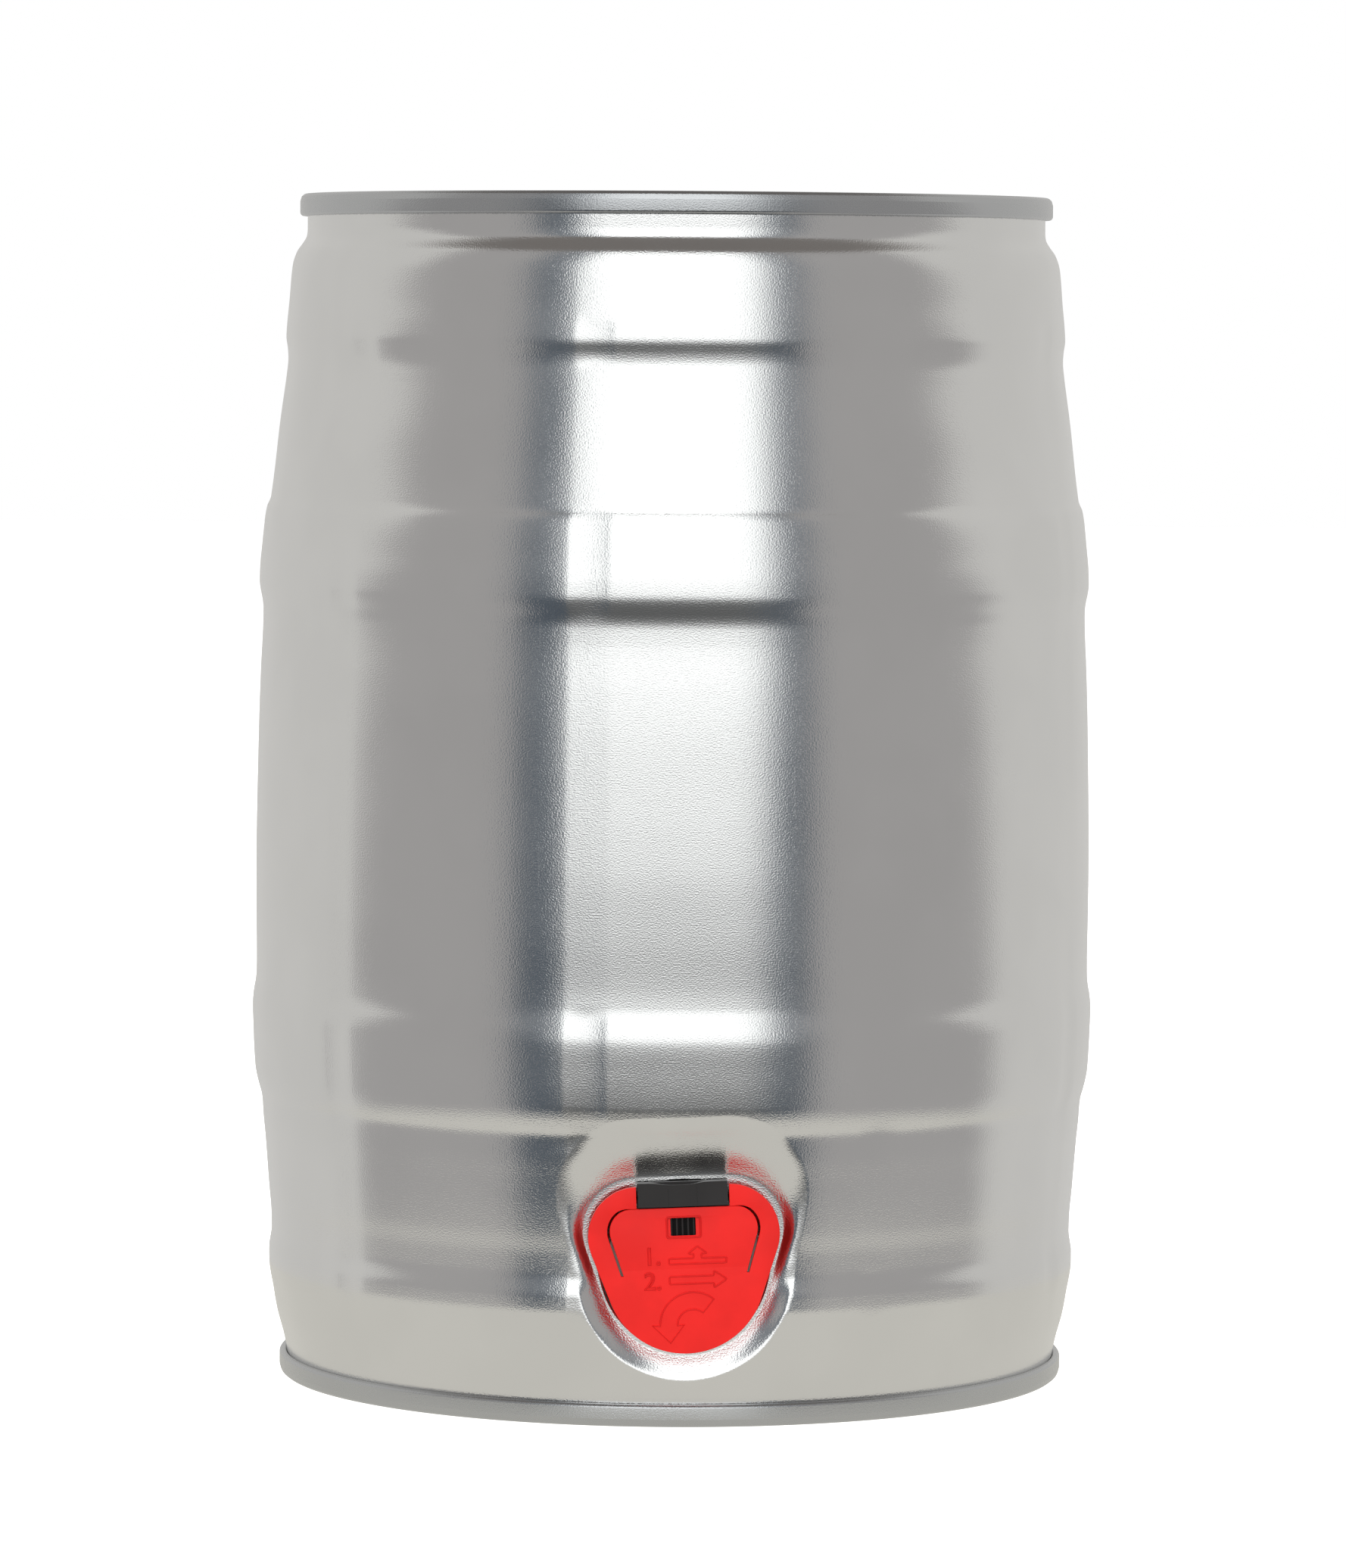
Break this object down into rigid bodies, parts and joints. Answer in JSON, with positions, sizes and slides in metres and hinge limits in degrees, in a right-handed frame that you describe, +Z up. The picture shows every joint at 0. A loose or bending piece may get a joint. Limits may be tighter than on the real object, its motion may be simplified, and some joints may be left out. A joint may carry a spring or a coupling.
{
  "type": "party keg",
  "caption": "Small ribbed tinplate beer keg with double-seamed ends, a vented bung and a pull-out tap with a red front plate in a pressed pocket.",
  "frame": {"origin": "centre of the circle on which the bottom seam stands", "axes": "+Z up along the keg axis, tap facing -Y, +X to the right of a person facing the tap"},
  "size_m": [0.1784, 0.1784, 0.25],
  "materials": {
    "tinplate": "bright tinplate with a fine rolled grain",
    "seam_tinplate": "satin tinplate, slightly darker at the seams",
    "spring_steel": "plain spring steel",
    "red_plastic": "moulded red plastic, satin",
    "black_plastic": "moulded black plastic, satin",
    "white_plastic": "natural moulded plastic",
    "rubber": "moulded black rubber",
    "seam_compound": "cured sealing compound"
  },
  "bodies": {
    "keg": {"body_shell": "tinplate", "top_end": "seam_tinplate", "bottom_end": "seam_tinplate", "top_seam_compound": "seam_compound", "bottom_seam_compound": "seam_compound", "bung_seal": "rubber", "vent_body": "black_plastic", "tap_housing": "white_plastic", "housing_gasket": "rubber", "housing_lock_ring": "white_plastic", "inlet_cap": "white_plastic"},
    "vent": {"vent_knob": "red_plastic", "vent_o_ring": "rubber"},
    "tap_sleeve": {"slide_sleeve": "black_plastic", "sleeve_o_ring_rear": "rubber", "sleeve_o_ring_front": "rubber", "valve_seat": "rubber"},
    "tap_spout": {"spout": "black_plastic", "spout_o_ring_rear": "rubber", "spout_o_ring_front": "rubber", "spout_circlip": "spring_steel", "front_plate": "red_plastic"},
    "flap": {"pull_flap": "red_plastic"}
  },
  "joints": [
    {"name": "tap_pull", "type": "slide", "parent": "keg", "child": "tap_sleeve", "axis": [0, -1, 0], "range_m": [0, 0.03]},
    {"name": "tap_turn", "type": "hinge", "parent": "tap_sleeve", "child": "tap_spout", "pos_m": [0, -0.06, 0.033], "axis": [0, -1, 0], "range_deg": [0, 180]},
    {"name": "flap_lift", "type": "hinge", "parent": "tap_spout", "child": "flap", "pos_m": [0.00001, -0.0839, 0.0327], "axis": [0.9993, 0, 0.0384], "range_deg": [0, 35]},
    {"name": "vent_turn", "type": "hinge", "parent": "keg", "child": "vent", "pos_m": [0, 0, 0.24], "axis": [0, 0, 1], "range_deg": [0, 90]}
  ]
}
